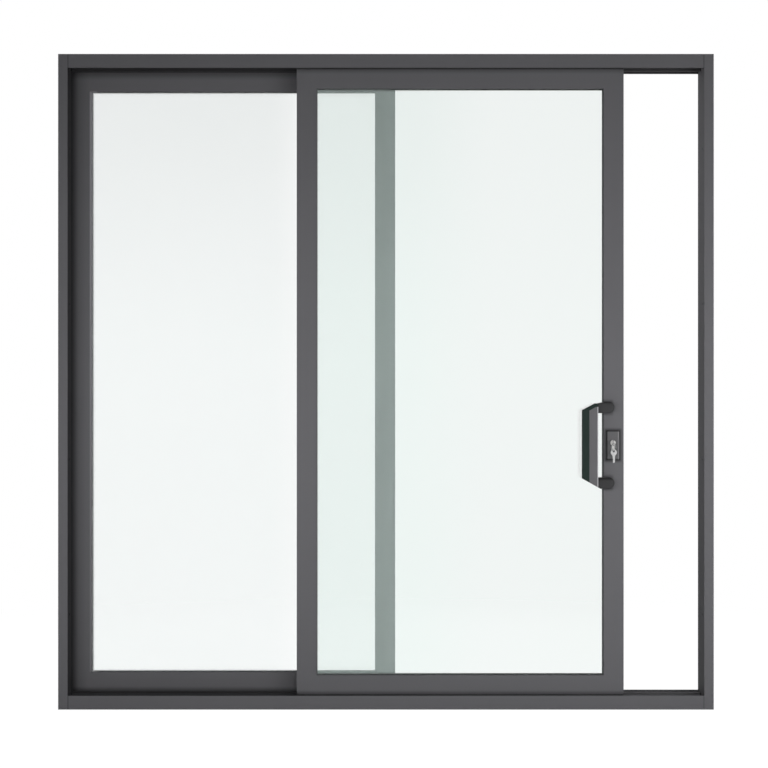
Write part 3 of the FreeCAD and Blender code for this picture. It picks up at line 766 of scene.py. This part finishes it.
def screw_head(trim):
    """A raised head with a cross recess, standing on the plane X = 0 and facing +X."""
    radius, proud = trim.screw_radius, trim.screw_proud
    crown, floor, reach, half = proud * 0.8, proud * 0.35, radius * 0.62, radius * 0.13
    bpy.ops.object.select_all(action="DESELECT")
    bpy.ops.mesh.primitive_cylinder_add(
        vertices=32,
        radius=radius,
        depth=proud,
        location=(proud / 2, 0, 0),
        rotation=(0, math.pi / 2, 0),
    )
    head = bpy.context.object
    settle(head)
    bpy.ops.object.mode_set(mode="EDIT")
    choose_faces(head, lambda polygon: polygon.normal.x > FACING)
    bpy.ops.mesh.bevel(offset=crown, segments=4)
    bpy.ops.object.mode_set(mode="OBJECT")
    for turn in (0.0, math.pi / 2):
        slot = start_box("screw_slot", (floor, -reach, -half), (proud * 2, reach, half))
        bpy.ops.mesh.select_all(action="SELECT")
        bpy.ops.transform.rotate(value=turn, orient_axis="X", center_override=(0, 0, 0))
        bpy.ops.object.mode_set(mode="OBJECT")
        cut_away(head, slot)
    return head


def soft_post(name, node, corner, slope, trim):
    """A post of the pull with a round end and soft edges.

    It is cut back along a line through corner, where the pull covers it.
    """
    low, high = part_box(node)
    round_end = (high.z - low.z) * 0.48
    piece = start_box(name, low, high)
    choose_edges(piece, lambda a, b: min(a.x, b.x) > high.x - NEAR and abs(a.z - b.z) < NEAR)
    bpy.ops.mesh.bevel(offset=round_end, segments=12)
    bpy.ops.mesh.select_all(action="SELECT")
    upward = 1.0 if slope > 0 else -1.0
    bpy.ops.mesh.bisect(
        plane_co=corner, plane_no=(-slope * upward, 0.0, upward), use_fill=True, clear_outer=True
    )
    choose_edges(piece, lambda a, b: max(a.y, b.y) < low.y + NEAR)
    bpy.ops.mesh.bevel(offset=trim.post_edge, segments=5)
    return piece


def plate_shadow_rim(node, trim):
    """A thin black seal all round the lock plate, put there as the dark shadow line round it."""
    low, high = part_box(node)
    wide, proud = trim.shadow_rim_wide, trim.shadow_rim_proud
    corner, edge, front = wide * 1.3, proud * 0.4, high.y - proud
    piece = start_box(
        "plate_seal",
        (low.x - wide, front, low.z - wide),
        (high.x + wide, high.y, high.z + wide),
    )
    choose_edges(piece, lambda a, b: abs(a.y - b.y) > NEAR)
    bpy.ops.mesh.bevel(offset=corner, segments=5)
    choose_edges(piece, lambda a, b: max(a.y, b.y) < front + NEAR)
    bpy.ops.mesh.bevel(offset=edge, segments=2)
    bpy.ops.object.mode_set(mode="OBJECT")
    hole = start_box(
        "plate_hole", (low.x, front - proud, low.z), (high.x, high.y + proud, high.z)
    )
    bpy.ops.object.mode_set(mode="OBJECT")
    cut_away(piece, hole)
    bpy.ops.object.mode_set(mode="EDIT")
    return piece


def sealant_bead(name, low, high, free):
    """A bead of sealant in a corner, rounded along the front edge whose ends a test picks."""
    rounding = (Vector(high) - Vector(low)).y * 0.8
    front = low[1] + NEAR
    piece = start_box(name, low, high)
    choose_edges(piece, lambda *ends: all(point.y < front and free(point) for point in ends))
    bpy.ops.mesh.bevel(offset=rounding, segments=4)
    return piece


# Operators


class PATIO_OT_paint_frame(bpy.types.Operator):
    """Powder coats the jambs, head, sill and track rail"""

    bl_idname = "patio.paint_frame"
    bl_label = "Paint Frame"

    def execute(self, context):
        paint = context.scene.patio_paint
        low, high = CAD_BOX
        start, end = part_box("sill")
        faces = (inward("Y", start.y, 1), inward("Y", end.y, -1))
        # Darker at both ends of the head and the sill, where they meet the jambs
        seams = (light_and_shade_line("X", start.x, 1, *SEAM), light_and_shade_line("X", end.x, -1, *SEAM))
        members = (
            ("left_jamb", UPRIGHT, (), inward("X", low.x, 1)),
            ("right_jamb", UPRIGHT, (), inward("X", high.x, -1)),
            ("head", LEVEL, seams, inward("Z", high.z, -1)),
            ("sill", LEVEL, seams, inward("Z", low.z, 1)),
        )
        # Painted shade on each member's faces behind its front, inside the frame
        for name, run, painted_light_and_shade, outer in members:
            shade = ((*faces, outer), INNER_SHADE[name])
            coat = powder_coat(f"{name}_paint", paint.coat, run, paint, painted_light_and_shade, (shade,))
            dress((name,), coat)
        dress(("track_rail",), powder_coat("rail_paint", paint.coat, LEVEL, paint))
        return {"FINISHED"}


class PATIO_OT_paint_panels(bpy.types.Operator):
    """Powder coats the stiles, rails and interlocks of both panels"""

    bl_idname = "patio.paint_panels"
    bl_label = "Paint Panels"

    def execute(self, context):
        paint = context.scene.patio_paint
        roof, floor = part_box("head")[0].z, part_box("sill")[1].z
        # Painted shade on the panels under the head and over the sill
        fixed = (
            light_and_shade_line("Z", roof, -1, *FIXED_UNDER_SHADE),
            light_and_shade_line("Z", floor, 1, *FIXED_OVER_SHADE),
        )
        sliding = (
            light_and_shade_line("Z", roof, -1, *SLIDING_UNDER_SHADE),
            light_and_shade_line("Z", floor, 1, *SLIDING_OVER_SHADE),
        )
        dress(STILES, powder_coat("stile_paint", paint.coat, UPRIGHT, paint, sliding))
        # Painted shade on the fixed outer stile next to the left jamb and along the lips
        corner, edge = (end.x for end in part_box("fixed_outer_stile"))
        painted_light_and_shade = (*(light_and_shade_line("X", corner, 1, *line) for line in JAMB_SHADE), *fixed)
        # Painted light along the stile's inner edge, beside the glass
        rim = (
            inward("X", edge - RIM_LIGHT_WIDE, 1),
            inward("Z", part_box("fixed_bottom_rail")[1].z, 1),
            inward("Z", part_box("fixed_top_rail")[0].z, -1),
        )
        light = (rim, RIM_LIGHT_TONES)
        coat = powder_coat("outer_stile_paint", paint.coat, UPRIGHT, paint, painted_light_and_shade, (light,))
        dress(("fixed_outer_stile",), coat)
        # Painted shade on the lock stile round the plate and the posts
        shade_halos = [shade_halo(*values) for values in SHADE_HALOS]
        coat = powder_coat("lock_stile_paint", paint.coat, UPRIGHT, paint, sliding, shade_halos)
        dress(("sliding_lock_stile",), coat)
        for panel, lines in (("fixed", fixed), ("sliding", sliding)):
            for rail, line in zip(("top_rail", "bottom_rail"), lines):
                name = f"{panel}_{rail}"
                dress((name,), powder_coat(f"{name}_paint", paint.coat, LEVEL, paint, (line,)))
        return {"FINISHED"}


class PATIO_OT_glaze(bpy.types.Operator):
    """Gives the panes, gaskets and spacer bars their finishes"""

    bl_idname = "patio.glaze"
    bl_label = "Glaze Panels"

    def execute(self, context):
        glass = context.scene.patio_glass
        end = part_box("sliding_meeting_stile")[1].x
        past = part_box("fixed_meeting_stile")[1].x
        # Painted reflection: the fixed panes throw back less over the overlap, the sliding panes
        # more
        reach, *shares = FIXED_PAINTED_REFLECTION
        fixed_reflection_change = (end - reach, end, *shares)
        reach, *shares = SLIDING_PAINTED_REFLECTION
        sliding_reflection_change = (past, past + reach, *shares)
        units = (
            ("fixed", FIXED_PANES, glass.fixed_tint, glass.fixed_gloss, fixed_reflection_change),
            ("sliding", SLIDING_PANES, glass.sliding_tint, glass.sliding_gloss, sliding_reflection_change),
        )
        for name, panes, tint, gleam, reflection_change in units:
            dress(panes, clear_glass(f"{name}_glass", tint, gleam, glass, reflection_change))
        rubber = {"colour": glass.gasket, "roughness": 0.70, "grain": 1500.0}
        dress(GASKETS, moulded("gasket_rubber", **rubber))
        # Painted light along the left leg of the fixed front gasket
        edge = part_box("fixed_front_gasket")[0].x
        gasket_light = (light_and_shade_line("X", edge, 1, *GASKET_LIGHT),)
        dress(("fixed_front_gasket",), moulded("faded_rubber", **rubber, painted_light_and_shade=gasket_light))
        dress(SPACERS, perforated_bar(glass.spacer))
        return {"FINISHED"}


class PATIO_OT_finish_running_gear(bpy.types.Operator):
    """Finishes the wheels, carriages and top guides"""

    bl_idname = "patio.finish_running_gear"
    bl_label = "Finish Running Gear"

    def execute(self, context):
        metal = context.scene.patio_metal
        dress(
            ("left_wheel", "right_wheel"),
            brushed_metal("turned_steel", metal.steel, (1, 0.02, 1), roughness=0.28, grain=700.0),
        )
        dress(
            ("left_carriage", "right_carriage", "left_guide", "right_guide"),
            moulded("black_nylon", metal.nylon, roughness=0.50, grain=1100.0),
        )
        return {"FINISHED"}


class PATIO_OT_finish_handle(bpy.types.Operator):
    """Paints the pull and its two posts"""

    bl_idname = "patio.finish_handle"
    bl_label = "Finish Handle"

    def execute(self, context):
        paint = context.scene.patio_paint
        trim = context.scene.patio_trim
        dress(("handle_bow",), pull_paint_with_painted_light(paint, context.scene.patio_pull))
        low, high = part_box("handle_bow")
        ends = {"upper_post": high.z, "lower_post": low.z}
        for node, slope, drop, line in POSTS:
            # Painted shade under the post's top
            edge = (light_and_shade_line("Z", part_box(node)[1].z, -1, *line),)
            # The post is made dark as painted shade under the pull
            shaded_cover = moulded(
                f"{node}_cover", paint.posts, roughness=0.46, grain=1300.0, painted_light_and_shade=edge
            )
            corner = (high.x, 0.0, ends[node] - drop)
            post = soft_post(f"soft_{node}", node, corner, slope, trim)
            finish_piece(post, shaded_cover, "sliding_panel")
            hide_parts(node)
        return {"FINISHED"}


class PATIO_OT_finish_lock(bpy.types.Operator):
    """Finishes the lock plate, cylinder, plug, keys and ring"""

    bl_idname = "patio.finish_lock"
    bl_label = "Finish Lock"

    def execute(self, context):
        paint = context.scene.patio_paint
        metal = context.scene.patio_metal
        low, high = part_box("lock_plate")
        sides = {("X", 1): low.x, ("X", -1): high.x, ("Z", 1): low.z, ("Z", -1): high.z}
        # Painted shade along the plate's edges and a painted highlight near its right edge
        edges = [
            light_and_shade_line(axis, sides[axis, way], way, *line) for axis, way, *line in PLATE_SHADE_AND_HIGHLIGHT
        ]
        dress(("lock_plate",), powder_coat("plate_paint", paint.plate, (1, 1, 1), paint, edges))
        # A black seal as the shadow line round the plate
        rim = plate_shadow_rim("lock_plate", context.scene.patio_trim)
        pile = context.scene.patio_glass.pile
        rubber = moulded("plate_rubber", pile, roughness=0.65, grain=1400.0)
        finish_piece(rim, rubber, "sliding_panel")
        satin = brushed_metal(
            "satin_nickel", metal.nickel, (0.05, 1, 1), roughness=0.30, grain=2400.0
        )
        dress(("lock_cylinder", "key_plug"), satin)
        bright = brushed_metal(
            "bright_nickel", metal.key, (1, 1, 0.05), roughness=0.20, grain=2600.0
        )
        dress(("lock_key", "spare_key", "key_ring"), bright)
        return {"FINISHED"}


class PATIO_OT_add_seals(bpy.types.Operator):
    """Adds the sliding panel's two brush seals and the sealant round the fixed panel"""

    bl_idname = "patio.add_seals"
    bl_label = "Add Seals"

    def execute(self, context):
        trim = context.scene.patio_trim
        glass = context.scene.patio_glass
        fibre = brush_fibre(glass.pile)
        lip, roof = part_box("sill")[1].z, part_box("head")[0].z
        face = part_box("sliding_bottom_rail")[0].y
        left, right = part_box("sliding_meeting_stile")[0].x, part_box("sliding_lock_stile")[1].x
        # Partly painted shade: the seals show past the lips as the dark line there
        places = (
            ("lower_brush", lip + trim.seal_shows - trim.seal_tall),
            ("upper_brush", roof - trim.seal_shows),
        )
        for name, z in places:
            start, length = left + trim.seal_short, right - left - 2 * trim.seal_short
            piece = brush_seal(name, (start, face, z), length, trim)
            finish_piece(piece, fibre, "sliding_panel")
        rubber = moulded("sealant", glass.pile, roughness=0.60, grain=900.0)
        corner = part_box("fixed_outer_stile")[0]
        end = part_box("fixed_meeting_stile")[1].x
        side, front = corner.x + trim.bead, corner.y - trim.bead
        beads = (
            ("side_sealant", (corner.x, side), (lip, roof), lambda p: p.x > corner.x + NEAR),
            ("lower_sealant", (side, end), (lip, lip + trim.bead), lambda p: p.z > lip + NEAR),
            ("upper_sealant", (side, end), (roof - trim.bead, roof), lambda p: p.z < roof - NEAR),
        )
        for name, (near_x, far_x), (low_z, high_z), free in beads:
            low, high = (near_x, front, low_z), (far_x, corner.y, high_z)
            finish_piece(sealant_bead(name, low, high, free), rubber, "frame")
        return {"FINISHED"}


class PATIO_OT_add_corner_screws(bpy.types.Operator):
    """Adds the screws that hold the jambs to the head and the sill"""

    bl_idname = "patio.add_corner_screws"
    bl_label = "Add Corner Screws"

    def execute(self, context):
        trim = context.scene.patio_trim
        metal = context.scene.patio_metal
        steel = brushed_metal(
            "screw_steel", metal.steel, (1, 1, 0.1), roughness=0.30, grain=2200.0
        )
        pattern = screw_head(trim)
        low, high = CAD_BOX
        sides = (("left", low.x, math.pi), ("right", high.x, 0.0))
        levels = (("lower", low.z + trim.screw_inset), ("upper", high.z - trim.screw_inset))
        rows = (("front", -trim.screw_front), ("rear", trim.screw_rear))
        for (side, x, turn), (level, z), (row, y) in itertools.product(sides, levels, rows):
            only(pattern)
            bpy.ops.object.duplicate()
            screw = bpy.context.object
            screw.name = screw.data.name = f"{side}_{level}_{row}_screw"
            screw.rotation_euler.z = turn
            screw.location = (x, y, z)
            settle(screw)
            finish_piece(screw, steel, "frame")
        bpy.data.objects.remove(pattern)
        return {"FINISHED"}


class PATIO_OT_set_stage(bpy.types.Operator):
    """Sets the floor, the soft light and the camera"""

    bl_idname = "patio.set_stage"
    bl_label = "Set Stage"

    def execute(self, context):
        stage = context.scene.patio_stage
        context.scene.view_settings.view_transform = "Standard"
        context.scene.cycles.transparent_max_bounces = 32
        context.scene.world = studio_world(stage)
        lay_floor(stage.floor)
        for name, place, aim, size in LAMPS:
            add_lamp(f"{name}_lamp", place, aim, size, getattr(stage, name))
        place_camera(stage)
        return {"FINISHED"}


def seen_directly(shader):
    """1 for rays from the camera and for what gloss and glass show, 0 for light on the object."""
    names = ("Is Camera Ray", "Is Glossy Ray", "Is Transmission Ray")
    camera, glossy, passed = (shader.node("ShaderNodeLightPath", out=name) for name in names)
    return camera.or_more(glossy).or_more(passed)


def studio_world(stage):
    """White to look at, and a little darker where gloss and glass show it from above.

    As a light it is dim in front of the door, where the lamps are, and brighter behind.
    """
    world = bpy.data.worlds.new("studio")
    shader = Shader(world)
    _, y, z = shader.axes(shader.node("ShaderNodeTexCoord", out="Generated"))
    horizon, overhead, before, behind = 0.0, 0.18, -0.5, 0.3
    mirrored = shader.rise(z, horizon, overhead, 1.0, stage.mirrored)
    lit = shader.rise(y, before, behind, stage.front, stage.rear)
    glossy = shader.node("ShaderNodeLightPath", out="Is Glossy Ray")
    seen = seen_directly(shader)
    level = glossy * mirrored + (1.0 - glossy) * (seen + (1.0 - seen) * lit)
    back = shader.node("ShaderNodeBackground", {}, {"Color": (1, 1, 1, 1), "Strength": level})
    shader.node("ShaderNodeOutputWorld", {}, {"Surface": back})
    return world


def lay_floor(colour):
    """A pale floor that looks white and keeps the door's shadow."""
    bpy.ops.object.select_all(action="DESELECT")
    bpy.ops.mesh.primitive_plane_add(size=FLOOR_WIDE, location=(0, 0, -FLOOR_DROP))
    floor = bpy.context.object
    floor.name = floor.data.name = "studio_floor"
    shader = new_finish("studio_floor")
    matt = shader.node("ShaderNodeBsdfDiffuse", {}, {"Color": (*colour, 1.0)})
    faint = shader.node("ShaderNodeBsdfDiffuse", {}, {"Color": SHADOW_GREY})
    white, plain = (
        shader.node("ShaderNodeEmission", {}, {"Color": (1, 1, 1, 1), "Strength": level})
        for level in (NEAR_WHITE, PLAIN_WHITE)
    )
    shadowed = shader.node("ShaderNodeAddShader", {}, {0: faint, 1: white})
    glossy = shader.node("ShaderNodeLightPath", out="Is Glossy Ray")
    x, y, _ = shader.axes(shader.place())
    far = shader.rise(x * x + y * y, PLAIN_FROM, PLAIN_TO, 0.0, 1.0)
    shown = shader.node("ShaderNodeMixShader", {}, {0: far, 1: shadowed, 2: plain})
    seen = shader.node("ShaderNodeMixShader", {}, {0: seen_directly(shader), 1: matt, 2: shown})
    mixed = shader.node("ShaderNodeMixShader", {}, {0: glossy, 1: seen, 2: plain})
    floor.data.materials.append(shader.surface(mixed))


def add_lamp(name, place, aim, size, power):
    """A soft lamp of a width and a height, aimed at a point."""
    lamp = bpy.data.lights.new(name, "AREA")
    lamp.shape = "RECTANGLE"
    lamp.size, lamp.size_y = size
    lamp.energy = power
    holder = bpy.data.objects.new(name, lamp)
    bpy.context.scene.collection.objects.link(holder)
    holder.location = place
    holder.rotation_euler = (Vector(aim) - Vector(place)).to_track_quat("-Z", "Y").to_euler()
    holder.visible_camera = False
    holder.visible_glossy = False


def place_camera(stage):
    """A level camera in front of the door."""
    camera = bpy.data.cameras.new("camera")
    camera.lens = stage.lens
    camera.sensor_width = 36.0
    camera.clip_end = 200.0
    holder = bpy.data.objects.new("camera", camera)
    bpy.context.scene.collection.objects.link(holder)
    holder.location = stage.camera_place
    holder.rotation_euler = (math.pi / 2, 0, 0)
    bpy.context.scene.camera = holder


STEPS = (
    PATIO_OT_paint_frame,
    PATIO_OT_paint_panels,
    PATIO_OT_glaze,
    PATIO_OT_finish_running_gear,
    PATIO_OT_finish_handle,
    PATIO_OT_finish_lock,
    PATIO_OT_add_seals,
    PATIO_OT_add_corner_screws,
    PATIO_OT_set_stage,
)


class PATIO_PT_finishes(bpy.types.Panel):
    """Lists the settings and the steps"""

    bl_idname = "PATIO_PT_finishes"
    bl_label = "Patio Door"
    bl_space_type = "VIEW_3D"
    bl_region_type = "UI"
    bl_category = "Patio Door"

    def draw(self, context):
        for name in SETTINGS:
            group = getattr(context.scene, name)
            box = self.layout.box()
            for setting in group.__annotations__:
                box.prop(group, setting)
        for step in STEPS:
            self.layout.operator(step.bl_idname)


SETTINGS = {
    "patio_paint": PatioPaintSettings,
    "patio_pull": PatioPullSettings,
    "patio_glass": PatioGlassSettings,
    "patio_metal": PatioMetalSettings,
    "patio_trim": PatioTrimSettings,
    "patio_stage": PatioStageSettings,
}


def register():
    for name, group in SETTINGS.items():
        bpy.utils.register_class(group)
        setattr(bpy.types.Scene, name, PointerProperty(type=group))
    for step in STEPS:
        bpy.utils.register_class(step)
    bpy.utils.register_class(PATIO_PT_finishes)


def unregister():
    bpy.utils.unregister_class(PATIO_PT_finishes)
    for step in reversed(STEPS):
        bpy.utils.unregister_class(step)
    for name, group in reversed(SETTINGS.items()):
        delattr(bpy.types.Scene, name)
        bpy.utils.unregister_class(group)


def main():
    register()
    bpy.ops.patio.paint_frame()
    bpy.ops.patio.paint_panels()
    bpy.ops.patio.glaze()
    bpy.ops.patio.finish_running_gear()
    bpy.ops.patio.finish_handle()
    bpy.ops.patio.finish_lock()
    bpy.ops.patio.add_seals()
    bpy.ops.patio.add_corner_screws()
    bpy.ops.patio.set_stage()


if __name__ == "__main__":
    main()
